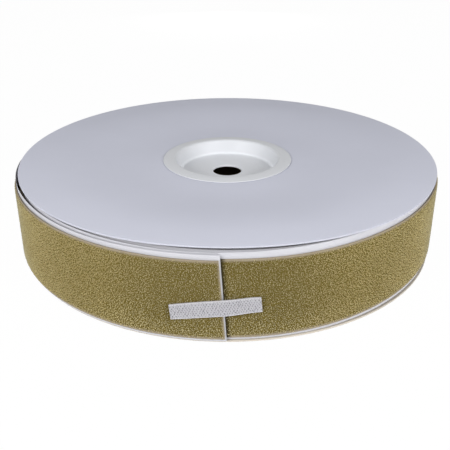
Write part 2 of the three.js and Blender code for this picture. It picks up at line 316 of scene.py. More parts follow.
class Surface:
    """Gathers grids of points into one mesh with finishes and surface coordinates."""

    def __init__(self):
        self.points = []
        self.faces = []
        self.finishes = []
        self.coordinates = []
        self.count = 0

    def grid(self, points, coordinates=None, finish=0, wrap_rows=False, caps=False):
        """Adds a grid whose columns close on themselves, or many grids at once along leading axes.

        Faces run from row to row and from column to column, so they point to the left of the columns' way
        round when seen along the rows. finish is a number, or one for each column's faces. caps closes the
        first and last rows.
        """
        columns = points.shape[-2]
        index = self.count + np.arange(points.size // 3).reshape(points.shape[:-1])
        ahead = np.roll(index, -1, axis=-2) if wrap_rows else index[..., 1:, :]
        here = index if wrap_rows else index[..., :-1, :]
        quads = np.stack([here, ahead, np.roll(ahead, -1, axis=-1), np.roll(here, -1, axis=-1)], axis=-1)
        self.faces += quads.reshape(-1, 4).tolist()
        self.finishes.append(np.broadcast_to(finish, here.shape).ravel())
        if caps:
            ends = np.stack([index[..., 0, :], index[..., -1, ::-1]]).reshape(-1, columns)
            self.faces += ends.tolist()
            self.finishes.append(np.full(len(ends), np.max(finish)))
        if coordinates is None:
            coordinates = np.zeros((*points.shape[:-1], 2))
        self.points.append(points.reshape(-1, 3))
        self.coordinates.append(coordinates.reshape(-1, 2))
        self.count += points.size // 3

    def piece(self, name, finishes, slot, sharp=40):
        """Makes the mesh object, smooth apart from edges sharper than the given angle in degrees."""
        mesh = bpy.data.meshes.new(name)
        mesh.from_pydata(np.concatenate(self.points).tolist(), [], self.faces)
        for finish in finishes:
            mesh.materials.append(finish)
        mesh.polygons.foreach_set("material_index", np.concatenate(self.finishes).astype(np.int32))
        corners = np.zeros(len(mesh.loops), np.int32)
        mesh.loops.foreach_get("vertex_index", corners)
        flat = np.concatenate(self.coordinates)[corners]
        mesh.uv_layers.new(name="surface").data.foreach_set("uv", flat.astype(np.float32).ravel())
        mesh.shade_smooth()
        mesh.set_sharp_from_angle(angle=math.radians(sharp))
        mesh.validate()
        piece = bpy.data.objects.new(name, mesh)
        bpy.context.scene.collection.objects.link(piece)
        return piece


def turned(profile):
    """A closed profile of radius and height carried round the axis: (r cos a, r sin a, z)."""
    angles = np.linspace(0, 2 * np.pi, ROUND_STEPS, endpoint=False)[:, None]
    r, z = profile[:, 0], profile[:, 1]
    return np.stack([r * np.cos(angles), r * np.sin(angles), z + 0 * angles], axis=-1)


def turned_over(points):
    """The same points turned half a turn about the X axis: (x, -y, -z)."""
    return points * np.array([1, -1, -1])


def raised(points, height):
    """The same points moved up."""
    return points + np.array([0, 0, height])


def disc_rise(spool, node, radius, angle):
    """Rise of a disc's face over its seat: flat round the plug, then a smoothstep by its bow to a flat rim.

    Towards the rim the face wanders by a sum of sines. The upper disc has also lifted at the front, by a
    power of the sine, and sags a little elsewhere.
    """
    start = spool.ring_radius + spool.clamp_flat
    bow = high(node, 2) - low(node, 2) - spool.card
    warp = spool.card_warp if node == "upper_flange" else 0
    front = np.clip(-np.sin(angle), 0, 1) ** WARP_POWER
    wander = sines(angle, RIM_WANDER) / sum(size for size, waves, phase in RIM_WANDER)
    lift = warp * between(-WARP_SAG, 1, front) - spool.card_wave * (1 + wander) / 2
    bowed = bow * smoothstep(radius, start, spool.disc_radius - spool.rim_flat)
    return bowed + lift * smoothstep(radius, start, spool.disc_radius)


class Winding:
    """Shapes of the wound tape and liner, all of them functions of a winding angle, a depth and a height."""

    def __init__(self, tape):
        self.tape = tape
        self.pitch = tape.thickness + tape.liner_thickness + 2 * tape.clearance
        self.liner_depth = tape.thickness + tape.clearance

    def pile_radius(self, winding):
        """Radius of the pile: it falls by one pitch a turn, and one swell stands off before the tail."""
        share = np.clip((winding - SLACK_START) / (TAIL_START - SLACK_START), 0, 1)
        swell = self.tape.slack * np.sin(np.pi * share) ** 2
        return self.tape.wound_radius + self.pitch * winding / 360 + swell

    def climb(self, winding):
        """Rise of the turns on one side, which fades out among the inner turns."""
        around = np.mod(winding, 360)
        rise = smoothstep(around, CLIMB_START, CLIMB_TOP) * (1 - smoothstep(around, CLIMB_TOP, CLIMB_END))
        fade = smoothstep(winding, SPIRAL_START - 360 * CLIMB_FADE_TURNS, SPIRAL_START)
        return self.tape.climb * rise * fade

    def point(self, winding, depth, height):
        """A place in the winding: (R cos a, R sin a, z) with R the pile's radius less the depth."""
        angle = np.radians(FRONT + winding)
        radius = self.pile_radius(winding) - depth
        z = self.tape.base + height + self.climb(winding)
        return np.stack(np.broadcast_arrays(radius * np.cos(angle), radius * np.sin(angle), z), axis=-1)

    def angle(self, arc_length):
        """Degrees of an arc on the outer turn."""
        return np.degrees(arc_length / self.tape.wound_radius)

    def cut(self, height):
        """Arc from the front line to the slanted cut at a height above the tape's lower edge."""
        return between(self.tape.cut_foot, self.tape.cut_top, height / self.tape.width)

    def to_cut(self, start, step, heights, overhang):
        """Winding angles from a square start to the slanted cut, one row after another."""
        share = np.linspace(0, 1, round(-start / step) + 1)[:, None]
        return between(start, self.angle(self.cut(heights) + overhang), share)

    def ribbon(self, windings, heights, front, back):
        """A flat length's closed section at each winding angle: up the front, then down the back."""
        ends = [-1, 0]
        face = self.point(windings, front, heights)
        rear = self.point(windings, back, heights)[:, ends]
        arcs = np.radians(windings) * self.tape.wound_radius
        flat = np.stack(np.broadcast_arrays(arcs, heights), axis=-1)
        return np.concatenate([face, rear], axis=1), np.concatenate([flat, flat[:, ends]], axis=1)

    def tape_heights(self, columns):
        """Heights across the tape, its two edges among them."""
        return np.linspace(0, self.tape.width, columns)[None, :]

    def fullness(self, heights):
        """Share of the full pile at a height: 0 at the tape's edges, 1 inside the selvedges."""
        tape = self.tape
        edge = np.minimum(heights, tape.width - heights)
        inner = tape.selvedge_width + tape.pile_shoulder / 2
        return smoothstep(edge, inner - tape.pile_shoulder, inner)

    def flat_tape(self, windings, columns, crest):
        """The tape along rows of winding angles: its front lies at the selvedges' depth and rises to a crest
        depth in the middle. Finish 0 is the woven front, 1 the adhesive back."""
        tape = self.tape
        heights = self.tape_heights(columns)
        depth = between(tape.thickness - tape.selvedge_thickness, crest, self.fullness(heights))
        finish = np.array([0] * (columns - 1) + [0, 1, 0])
        return (*self.ribbon(windings, heights, depth, tape.thickness), finish)

    def loops(self, start, end, seed):
        """The pile from one winding angle to another: arches of thread, three rings of three points each.

        They stand on the woven ground in jittered rows and face every way. Along an arch t goes from 0 to 180
        degrees: across = -reach cos t, out = rise sin t.
        """
        tape = self.tape
        random = np.random.default_rng(seed)
        rows = round(math.radians(end - start) * tape.wound_radius / tape.loop_spacing)
        columns = round(tape.width / tape.loop_spacing)
        row, column = np.meshgrid(np.arange(rows), np.arange(columns), indexing="ij")
        from_front = abs((between(start, end, row / rows) + 180) % 360 - 180)
        spread = between(TOUSLED, COMBED, smoothstep(from_front, *COMBED_FROM))
        jitter = 0.5 + spread * random.uniform(-0.5, 0.5, (2, rows, columns))
        winding = between(start, end, (row + jitter[0]) / rows).ravel()
        height = (tape.width * (column + jitter[1]) / columns).ravel()
        cut = self.angle(self.cut(height))
        past = np.radians(winding + 360 - cut) * tape.wound_radius
        pressed = between(tape.press_foot, tape.press_top, height / tape.width)
        free = (past < 0) | (past > tape.liner_end + pressed * random.uniform(*LOOP_CLEARS, len(height)))
        full = self.fullness(height) > random.uniform(*LOOP_NEEDS, len(height))
        kept = full & free & (winding < cut - self.angle(tape.loop_reach))
        winding, height = winding[kept, None, None], height[kept, None, None]
        turn, size, tone = random.uniform(0, 1, (3, *winding.shape))
        arch = np.radians([0, 90, 180])[:, None]
        side = np.radians(THREAD_SIDES)
        thread = tape.loop_thread * np.cos(side)
        across = -(tape.loop_reach * between(*LOOP_WIDTHS, size) + thread) * np.cos(arch)
        usual = tape.pile_height * between(EDGE_LOOP_HEIGHT, 1, self.fullness(height))
        out = (usual * between(*LOOP_HEIGHTS, size) + thread) * np.sin(arch)
        beside = tape.loop_thread * np.sin(side)
        cosine, sine = np.cos(np.pi * turn), np.sin(np.pi * turn)
        along = across * cosine - beside * sine
        up = across * sine + beside * cosine
        points = self.point(winding + self.angle(along), tape.pile_height - out, height + up)
        flat = np.stack(np.broadcast_arrays(tone, np.sin(arch) + 0 * across), axis=-1)
        return points, flat

    def between_discs(self, windings, spool):
        """Lowest and highest place for the liner's edges between the discs, over the tape's lower edge."""
        radius = self.pile_radius(windings) - self.liner_depth
        angle = np.radians(FRONT + windings)
        lower = high("lower_flange", 2) - disc_rise(spool, "lower_flange", radius, -angle)
        upper = low("upper_flange", 2) + disc_rise(spool, "upper_flange", radius, angle)
        below = self.tape.base + self.climb(windings)
        return lower + self.tape.clearance - below, upper - self.tape.clearance - below

    def liner(self, windings, spool):
        """The liner, kept between the discs: a thin sheet whose upper edge stands higher turn by turn inward,
        falls off among the inner turns, and wanders a little as sums of sines of the angle."""
        tape = self.tape
        first = windings[:, :1]
        inward = -first / 360
        risen = tape.liner_top + tape.liner_step * np.clip(inward, 0, LINER_RISE_TURNS)
        margin = between(risen, tape.liner_inner, smoothstep(inward, *LINER_FALL_TURNS))
        slip = tape.liner_slip * self.climb(first)
        ripple = tape.liner_ripple * sines(np.radians(first), LINER_RIPPLE)
        sway = tape.liner_ripple * sines(np.radians(first), LINER_SWAY)
        top = tape.width + margin - slip + ripple
        foot = -tape.liner_bottom - slip
        wished = between(foot, top, np.linspace(0, 1, LINER_COLUMNS))
        heights = np.clip(wished, *self.between_discs(windings, spool))
        depth = self.liner_depth - sway * smoothstep(heights, tape.width, top)
        return self.ribbon(windings, heights, depth, depth + tape.liner_thickness)

    def strip(self, along, across, lift):
        """A place on the closing strip: turned by its tilt, lying on the tail, and past the cut and the
        liner's end stepping down one pitch to the turn beneath."""
        tape = self.tape
        tilt = math.radians(tape.strip_tilt)
        middle = 1 - (2 * along / tape.strip_length) ** 2
        across = across * (1 - tape.strip_waist * (1 - middle))
        arc_length = tape.strip_arc + along * math.cos(tilt) - across * math.sin(tilt)
        bow = tape.strip_bow * middle
        height = tape.strip_height + bow + along * math.sin(tilt) + across * math.cos(tilt)
        past = arc_length - self.cut(height) - tape.liner_end - tape.clearance
        drop = self.pitch * smoothstep(past, 0, tape.strip_ramp)
        return self.point(self.angle(arc_length), drop - tape.clearance - lift, height)


class Wire:
    """An output socket that takes part in Python arithmetic: each operation adds a Math node."""

    def __init__(self, finish, socket):
        self.finish = finish
        self.socket = socket

    def math(self, operation, other=0.0):
        """A Math node on this wire and, where the operation takes two, on another wire or a number."""
        return self.finish.node("ShaderNodeMath", {"operation": operation}, {0: self, 1: other})

    def __add__(self, other):
        return self.math("ADD", other)

    def __sub__(self, other):
        return self.math("SUBTRACT", other)

    def __rsub__(self, other):
        return self.finish.node("ShaderNodeMath", {"operation": "SUBTRACT"}, {0: other, 1: self})

    def __mul__(self, other):
        return self.math("MULTIPLY", other)

    __radd__ = __add__
    __rmul__ = __mul__


class Finish:
    """A material or a world under construction."""

    def __init__(self, owner):
        self.owner = owner
        owner.use_nodes = True
        self.tree = owner.node_tree
        self.shader = self.tree.nodes.get("Principled BSDF") or self.tree.nodes["Background"]

    def join(self, value, socket):
        """Links a wire to a socket, or sets the socket's own value."""
        if isinstance(value, Wire):
            self.tree.links.new(value.socket, socket)
        elif socket.type == "RGBA":
            socket.default_value = (*value, 1)
        else:
            socket.default_value = value

    def node(self, kind, settings=None, values=None, output=0):
        """Adds any node: its settings first, then the values or wires of its sockets."""
        node = self.tree.nodes.new(kind)
        for key, value in (settings or {}).items():
            setattr(node, key, value)
        for key, value in (values or {}).items():
            self.join(value, node.inputs[key])
        return Wire(self, node.outputs[output])

    def coordinates(self, kind="Object"):
        """Places in the object's own frame, or on its surface."""
        return self.node("ShaderNodeTexCoord", output=kind)

    def part(self, vector, axis):
        """One component of a vector."""
        return self.node("ShaderNodeSeparateXYZ", None, {0: vector}, axis)

    def noise(self, vector, scale, detail=2.0):
        """Noise from about 0 to 1, with scale as its grains to a unit of the vector."""
        return self.node("ShaderNodeTexNoise", None, {"Vector": vector, "Scale": scale, "Detail": detail})

    def stretched(self, vector, scale):
        """A vector or colour multiplied along each axis or channel."""
        return self.node("ShaderNodeVectorMath", {"operation": "MULTIPLY"}, {0: vector, 1: scale})

    def mix(self, share, first, second):
        """One colour turning into another as share goes from 0 to 1."""
        values = {"Factor": share, 6: first, 7: second}
        return self.node("ShaderNodeMix", {"data_type": "RGBA"}, values, 2)

    def shades(self, share, colour_value, darkest, lightest):
        """A colour from its darkest shade to its lightest as share goes from 0 to 1."""
        return self.mix(share, shade(colour_value, darkest), shade(colour_value, lightest))

    def rise(self, value, start, end):
        """Smooth rise from 0 to 1 as a value goes from start to end."""
        settings = {"interpolation_type": "SMOOTHSTEP"}
        return self.node("ShaderNodeMapRange", settings, {0: value, 1: start, 2: end})

    def wave(self, value, period):
        """Sine of a value, once a period, from 0 to 1."""
        return (value * (2 * math.pi / period)).math("SINE") * 0.5 + 0.5

    def bump(self, height, distance, strength):
        """A relief for the shader's Normal."""
        values = {"Height": height, "Distance": distance, "Strength": strength}
        return self.node("ShaderNodeBump", None, values)

    def done(self, values):
        """Sets the shader's sockets and gives the material or world."""
        for key, value in values.items():
            self.join(value, self.shader.inputs[key])
        return self.owner

    def seen(self):
        """1 for rays from the camera, also those that were mirrored or let through; 0 for rays of light."""
        kinds = ("Is Camera Ray", "Is Glossy Ray", "Is Transmission Ray")
        direct, mirrored, let_through = [self.node("ShaderNodeLightPath", output=kind) for kind in kinds]
        return direct.math("MAXIMUM", mirrored).math("MAXIMUM", let_through)


def woven_ground(finish, tape, spool):
    """The tape's woven front: ribs and threads at the selvedges, darker under the pile between them.

    It is paler where the cut has frayed, and darkest on the turn beneath past the liner's end, where a
    painted shadow lies.
    """
    flat = finish.coordinates("UV")
    along, across = finish.part(flat, 0), finish.part(flat, 1)
    edge = across.math("PINGPONG", tape.width / 2)
    past = along - across * ((tape.cut_top - tape.cut_foot) / tape.width) - tape.cut_foot
    beneath = past + 2 * math.pi * tape.wound_radius
    frayed = finish.rise(past, start=-1.6 * MM, end=-0.2 * MM)
    # Painted shadow on the turn beneath: a dark band from the liner's end out past the pressed width.
    pressed = finish.rise(beneath, -MM, MM) * finish.rise(beneath, 1.2 * tape.press_top, tape.liner_end)
    ribs = finish.wave(along, period=0.85 * MM)
    threads = finish.wave(across, period=0.42 * MM)
    fibres = finish.noise(finish.coordinates(), scale=1400)
    height = ribs * 0.4 + threads * 0.2 + fibres * 0.5
    woven = finish.shades(height, tape.selvedge_colour, darkest=0.8, lightest=1.12)
    under = finish.shades(height, tape.pile_dark, darkest=0.7, lightest=1.3)
    full = finish.rise(edge, tape.selvedge_width / 2, tape.selvedge_width + tape.pile_shoulder / 2)
    front = finish.mix(full, woven, finish.mix(frayed, under, woven))
    tone = finish.mix(pressed, front, shade(tape.pile_dark, 0.22))
    bump = finish.bump(height, distance=0.1 * MM, strength=0.6)
    return finish.done({"Base Color": tone, "Roughness": 0.85, "Normal": bump, "Specular IOR Level": 0.25})


def looped_thread(finish, tape, spool):
    """Loops of thread: each its own tone in faint rows across the tape, painted shade at its feet, a sheen.

    Round the closing strip, which has been pressed on and pulled off, they are tousled, so that their tones
    lie further apart, and they carry painted shade; past it, at the sides, they carry painted light, and on
    the far side a greyer painted shade. Towards the tape's lower edge they carry painted light from below.
    """
    flat = finish.coordinates("UV")
    place = finish.coordinates()
    drift = finish.noise(place, scale=45)
    rows = finish.noise(finish.stretched(place, (1, 1, 0.15)), scale=330)
    fibres = finish.noise(place, scale=2500)
    # Painted light from below: the loops are painted paler towards the tape's lower edge.
    lower = finish.rise(finish.part(place, 2), tape.base + PAINTED_LIGHT_FROM, tape.base + PAINTED_LIGHT_BELOW)
    tone = finish.part(flat, 0) * 0.55 + drift * 0.3 + rows * 0.3 + fibres * 0.15 + lower * 0.2
    strip = (0, -tape.wound_radius, tape.base + tape.strip_height)
    distance = finish.node("ShaderNodeVectorMath", {"operation": "DISTANCE"}, {0: place, 1: strip}, 1)
    away = distance * (1 / tape.strip_length)
    past_strip = finish.rise(away, *PAINTED_SIDE_LIGHT_FROM)
    far_side = finish.rise(away, *PAINTED_FAR_SHADE_FROM)
    darker = finish.mix(past_strip, shade(tape.pile_colour, 0.62), tape.pile_colour)
    paler = finish.mix(past_strip, tape.pile_tousled, tape.pile_light)
    body = finish.mix(finish.rise(tone, start=0.2, end=1.0), darker, paler)
    # Painted shade round the closing strip and painted light past it at the sides; greyer painted shade on
    # the far side.
    painted_front_and_sides = finish.mix(past_strip, finish.stretched(body, PAINTED_FRONT_SHADE), finish.stretched(body, PAINTED_SIDE_LIGHT))
    toned = finish.mix(far_side, painted_front_and_sides, finish.stretched(body, PAINTED_FAR_SHADE))
    # Painted shade at the loops' feet, lightened past the strip and towards the lower edge as painted light.
    feet = finish.mix(past_strip + lower * 0.6, tape.pile_dark, shade(tape.pile_colour, 0.9))
    rooted = finish.mix(finish.rise(finish.part(flat, 1), start=0.0, end=0.9), feet, toned)
    return finish.done({
        "Base Color": rooted,
        "Roughness": 0.85,
        "Specular IOR Level": 0.3,
        "Sheen Weight": 0.15,
        "Sheen Roughness": 0.4,
        "Sheen Tint": (0.7, 0.7, 0.7),
    })


def adhesive_back(finish, tape, spool):
    """Adhesive on the tape's back: a warm, wet-looking coating with coating streaks along the tape."""
    flat = finish.coordinates("UV")
    streaks = finish.noise(finish.stretched(flat, (30, 900, 1)), scale=1.0, detail=3.0)
    blots = finish.noise(finish.coordinates(), scale=160)
    tone = finish.shades(streaks, tape.adhesive_colour, darkest=0.88, lightest=1.08)
    bump = finish.bump(streaks * 0.6 + blots * 0.4, distance=0.08 * MM, strength=0.6)
    return finish.done({"Base Color": tone, "Roughness": blots * 0.2 + 0.16, "Normal": bump})


def liner_paper(finish, tape, spool):
    """Release paper: white, silicone-coated, with a fine grain and faint clouding."""
    place = finish.coordinates()
    grain = finish.noise(place, scale=1800)
    clouds = finish.noise(place, scale=60)
    tone = finish.shades(grain * 0.5 + clouds * 0.5, tape.liner_colour, darkest=0.93, lightest=1.05)
    bump = finish.bump(grain, distance=0.03 * MM, strength=0.5)
    return finish.done({"Base Color": tone, "Roughness": clouds * 0.15 + 0.34, "Normal": bump})


def hook_back(finish, tape, spool):
    """Back of hook tape: a white ground with staggered dimples darkened by painted shade, and a paler cut
    edge.
    """
    flat = finish.coordinates("UV")
    along, across = finish.part(flat, 0), finish.part(flat, 1)
    waves = (finish.wave(along, DIMPLE_ALONG) - 0.5) * (finish.wave(across, 2 * DIMPLE_ACROSS) - 0.5) * 4
    fibres = finish.noise(finish.coordinates(), scale=1600)
    blots = finish.noise(finish.coordinates(), scale=700)
    ground = finish.shades(fibres, tape.strip_colour, darkest=0.9, lightest=1.25)
    dimples = finish.rise(waves * 0.8 + blots * 1.4, start=0.6, end=1.5)
    # Painted shade: the dimples are painted darker where the back dips.
    shaded_dimples = finish.mix(dimples, ground, shade(tape.strip_colour, 0.42))
    side = tape.strip_width / 2
    bound = finish.rise(across.math("ABSOLUTE"), side - 0.8 * MM, side)
    edged = finish.mix(bound, shaded_dimples, shade(tape.strip_colour, 1.5))
    bump = finish.bump(fibres, distance=0.06 * MM, strength=0.6)
    return finish.done({"Base Color": edged, "Roughness": 0.62, "Normal": bump})


def white_card(finish, tape, spool):
    """Coated white card: a fine paper grain, faint clouding and a dull gloss."""
    place = finish.coordinates()
    grain = finish.noise(place, scale=1300, detail=3.0)
    clouds = finish.noise(place, scale=22, detail=3.0)
    tone = finish.shades(grain * 0.35 + clouds * 0.65, spool.card_colour, darkest=0.95, lightest=1.05)
    bump = finish.bump(grain * 0.6 + clouds * 0.4, distance=0.04 * MM, strength=0.5)
    return finish.done({
        "Base Color": tone,
        "Roughness": grain * 0.16 + 0.55,
        "Normal": bump,
        "Specular IOR Level": 0.12,
    })


def cut_card(finish, tape, spool):
    """Cut edge of white card: greyer than its face, with loose fibres."""
    fibres = finish.noise(finish.coordinates(), scale=1200, detail=3.0)
    tone = finish.shades(fibres, spool.card_colour, darkest=0.65, lightest=0.8)
    bump = finish.bump(fibres, distance=0.1 * MM, strength=0.8)
    return finish.done({"Base Color": tone, "Roughness": 0.9, "Normal": bump})


def card_edge(finish, tape, spool):
    """Uncoated card: grey-brown plies with loose fibres."""
    place = finish.coordinates()
    plies = finish.wave(finish.part(place, 2), period=0.4 * MM)
    fibres = finish.noise(place, scale=1200, detail=3.0)
    height = plies * 0.4 + fibres * 0.6
    tone = finish.shades(height, spool.card_core, darkest=0.8, lightest=1.2)
    bump = finish.bump(height, distance=0.1 * MM, strength=0.8)
    return finish.done({"Base Color": tone, "Roughness": 0.9, "Normal": bump})


def white_plastic(finish, tape, spool):
    """Moulded plastic: a soft gloss over a fine spark texture, and painted light on the upper recess's floor.
    """
    place = finish.coordinates()
    spark = finish.noise(place, scale=2200)
    flow = finish.noise(place, scale=30)
    mottled = finish.shades(flow, spool.plastic_colour, darkest=0.96, lightest=1.03)
    # Painted light: the upper plug's recess floor and the fillet round it are painted lighter.
    floor = high("upper_hub_plug", 2) - spool.recess
    painted_floor_light = finish.rise(finish.part(place, 2), floor + 2.5 * MM, floor + 0.5 * MM)
    tone = finish.mix(painted_floor_light, mottled, shade(spool.plastic_colour, 1.1))
    bump = finish.bump(spark, distance=0.02 * MM, strength=0.4)
    return finish.done({"Base Color": tone, "Roughness": flow * 0.12 + 0.42, "Normal": bump})


def kraft_card(finish, tape, spool):
    """Spiral-wound kraft tube: fibres, and a seam that climbs round the tube. Its brown is darkened as
    painted shade for the tube's inside.
    """
    seam_climb = 60 * MM
    place = finish.coordinates()
    turn = finish.part(place, 1).math("ARCTAN2", finish.part(place, 0))
    helix = finish.part(place, 2) * (1 / seam_climb) + turn * (1 / (2 * math.pi))
    seam = finish.rise(helix.math("PINGPONG", 0.5), start=0.0, end=0.012)
    fibres = finish.noise(finish.stretched(place, (1, 1, 3)), scale=420, detail=4.0)
    tone = finish.shades(fibres, spool.shaded_kraft_colour, darkest=0.75, lightest=1.2)
    lined = finish.mix(seam, shade(spool.shaded_kraft_colour, 0.45), tone)
    bump = finish.bump(fibres + seam, distance=0.1 * MM, strength=0.6)
    return finish.done({"Base Color": lined, "Roughness": 0.88, "Normal": bump})


def finishes(context, *makers):
    """The materials of these makers, each made once and named for its maker."""
    tape, spool = context.scene.roll_tape, context.scene.roll_spool
    made = []
    for maker in makers:
        name = maker.__name__
        known = bpy.data.materials.get(name)
        made.append(known or maker(Finish(bpy.data.materials.new(name)), tape, spool))
    return made


def rows_of(start, end, step):
    """Winding angles from start to end as a column."""
    return np.linspace(start, end, round((end - start) / step) + 1)[:, None]


def tape_piece(context, name, *stretches, sharp=75):
    """Stretches of flat tape as a piece."""
    surface = Surface()
    for stretch in stretches:
        surface.grid(*stretch, caps=True)
    return surface.piece(name, finishes(context, woven_ground, adhesive_back), "loop_tape", sharp)


def pile_piece(context, winding, name, start, end, seed):
    """The loops from one winding angle to another as a piece, smooth all over."""
    surface = Surface()
    surface.grid(*winding.loops(start, end, seed))
    return surface.piece(name, finishes(context, looped_thread), "loop_tape", sharp=180)


def liner_piece(context, winding, name, windings):
    """The liner along rows of winding angles as a piece."""
    surface = Surface()
    surface.grid(*winding.liner(windings, context.scene.roll_spool), caps=True)
    return surface.piece(name, finishes(context, liner_paper), "liner")


class ROLL_OT_discs(bpy.types.Operator):
    """Make the two card discs, bowed out at the rim"""

    bl_idname = "tape_roll.discs"
    bl_label = "Card Discs"

    def disc(self, spool, node):
        """A disc with its seat at 0: two faces and a rounded cut edge.

        Finish 0 is the white face, 1 the uncoated side towards the tape, also at the lower disc's edge, and 2
        the upper disc's cut edge.
        """
        soft = spool.card_edge
        rim = spool.disc_radius - soft
        radii = np.linspace(spool.core_radius - spool.core_wall, rim, DISC_COLUMNS)
        under = np.stack([radii, 0 * radii], axis=1)
        over = np.stack([radii, 0 * radii + spool.card], axis=1)[::-1]
        edge = np.concatenate([arc(rim, soft, soft, -90, 0), arc(rim, spool.card - soft, soft, 0, 90)])
        points = turned(np.concatenate([under[:-1], edge, over[1:]]))
        x, y = points[..., 0], points[..., 1]
        points[..., 2] += disc_rise(spool, node, np.hypot(x, y), np.arctan2(y, x))
        column = np.arange(points.shape[1])
        finish = np.where(column < len(under) + len(edge) - ARC_STEPS // 2, 1, 0)
        if node == "upper_flange":
            finish[(column >= len(under) - 1) & (finish == 1)] = 2
        return points, finish

    def execute(self, context):
        spool = context.scene.roll_spool
        materials = finishes(context, white_card, card_edge, cut_card)
        for node in ("upper_flange", "lower_flange"):
            points, finish = self.disc(spool, node)
            if node == "upper_flange":
                points = raised(points, low(node, 2))
            else:
                points = raised(turned_over(points), high(node, 2))
            surface = Surface()
            surface.grid(points, finish=finish, wrap_rows=True)
            piece = surface.piece(node.replace("flange", "disc"), materials, "flange_card")
            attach(piece, "spool")
            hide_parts(node)
        return {"FINISHED"}


class ROLL_OT_plugs(bpy.types.Operator):
    """Make the two moulded hub plugs with their fins"""

    bl_idname = "tape_roll.plugs"
    bl_label = "Hub Plugs"
    fin_count = 8
    bore_chamfer = 0.3 * MM

    def cup(self, spool):
        """Profile of a plug from its bore: floor underside, leaning wall, sleeve, ring that slopes up from a
        rounded edge, rounded lip, leaning recess wall, filleted floor."""
        sleeve = spool.ring_radius - spool.ring_width
        lip = sleeve - spool.plug_wall
        foot = lip - spool.wall_lean
        top = spool.ring_thickness - spool.recess
        under = top - spool.floor
        bore = spool.bore / 2
        soft = self.bore_chamfer
        fillet = spool.floor_fillet
        return np.concatenate([
            [(bore, under + soft), (bore + soft, under)],
            [(foot + spool.plug_wall, under), (sleeve, -spool.sleeve), (sleeve, 0)],
            arc(spool.ring_radius - spool.ring_edge, 0, spool.ring_edge, 0, 80),
            arc(lip + spool.lip, spool.ring_thickness - spool.lip, spool.lip, 90, 170),
            arc(foot - fillet, top + fillet, fillet, 0, -90),
            [(bore + soft, top), (bore, top - soft)],
        ])

    def fin(self, spool, turn):
        """One fin as a ring of five edges through its thickness, turned about the axis."""
        edge = spool.ring_radius - spool.ring_width - spool.fin_inset
        lip = edge + spool.fin_inset - spool.plug_wall
        foot = spool.ring_thickness - spool.recess - spool.floor / 2
        outline = np.array([
            (lip - spool.wall_lean + spool.plug_wall / 2, foot),
            (edge - spool.fin_lead, foot),
            (edge, foot + spool.fin_lead),
            (edge, -spool.sleeve / 2),
            (lip + spool.plug_wall / 2, -spool.sleeve / 2),
        ])
        sides = np.array([-0.5, 0.5])[:, None] * spool.fin
        r, z = outline[:, 0], outline[:, 1]
        x = r * math.cos(turn) - sides * math.sin(turn)
        y = r * math.sin(turn) + sides * math.cos(turn)
        return np.stack([x, y, z + 0 * sides], axis=-1)

    def execute(self, context):
        spool = context.scene.roll_spool
        materials = finishes(context, white_plastic)
        upper = high("upper_hub_plug", 2) - spool.ring_thickness
        lower = low("lower_hub_plug", 2) + spool.ring_thickness
        for node, turn, seat in (("upper_hub_plug", False, upper), ("lower_hub_plug", True, lower)):
            surface = Surface()
            shapes = [(turned(self.cup(spool)), True)]
            turns = np.linspace(0, 2 * math.pi, self.fin_count, endpoint=False)
            shapes += [(self.fin(spool, angle), False) for angle in turns]
            for points, closed in shapes:
                placed = raised(turned_over(points) if turn else points, seat)
                surface.grid(placed, wrap_rows=closed, caps=not closed)
            piece = surface.piece(node.replace("hub_plug", "plug"), materials, "hub_plastic")
            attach(piece, "spool")
            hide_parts(node)
        return {"FINISHED"}


class ROLL_OT_core(bpy.types.Operator):
    """Make the spiral-wound card tube"""

    bl_idname = "tape_roll.core"
    bl_label = "Card Tube"

    def execute(self, context):
        spool = context.scene.roll_spool
        bottom, top = low("core_tube", 2), high("core_tube", 2)
        outer = spool.core_radius
        inner = outer - spool.core_wall
        soft = spool.card_edge
        profile = np.concatenate([
            arc(inner + soft, bottom + soft, soft, 180, 270),
            arc(outer - soft, bottom + soft, soft, 270, 360),
            arc(outer - soft, top - soft, soft, 0, 90),
            arc(inner + soft, top - soft, soft, 90, 180),
        ])
        surface = Surface()
        surface.grid(turned(profile), wrap_rows=True)
        piece = surface.piece("card_tube", finishes(context, kraft_card), "core_card")
        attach(piece, "spool")
        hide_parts("core_tube")
        return {"FINISHED"}


class ROLL_OT_inner_winding(bpy.types.Operator):
    """Wind the inner turns of tape and liner from the tube outwards"""

    bl_idname = "tape_roll.inner_winding"
    bl_label = "Inner Winding"

    def execute(self, context):
        tape, spool = context.scene.roll_tape, context.scene.roll_spool
        winding = Winding(tape)
        deepest = spool.core_radius + winding.pitch - tape.clearance
        turns = math.floor((winding.pile_radius(SPIRAL_START) - deepest) / winding.pitch)
        windings = rows_of(SPIRAL_START - 360 * turns, SPIRAL_START, INNER_STEP)
        piece = tape_piece(context, "inner_tape", winding.flat_tape(windings, INNER_COLUMNS, 0), sharp=40)
        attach(piece, "spool")
        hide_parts("inner_turns")
        piece = liner_piece(context, winding, "inner_liner", windings)
        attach(piece, "spool")
        return {"FINISHED"}


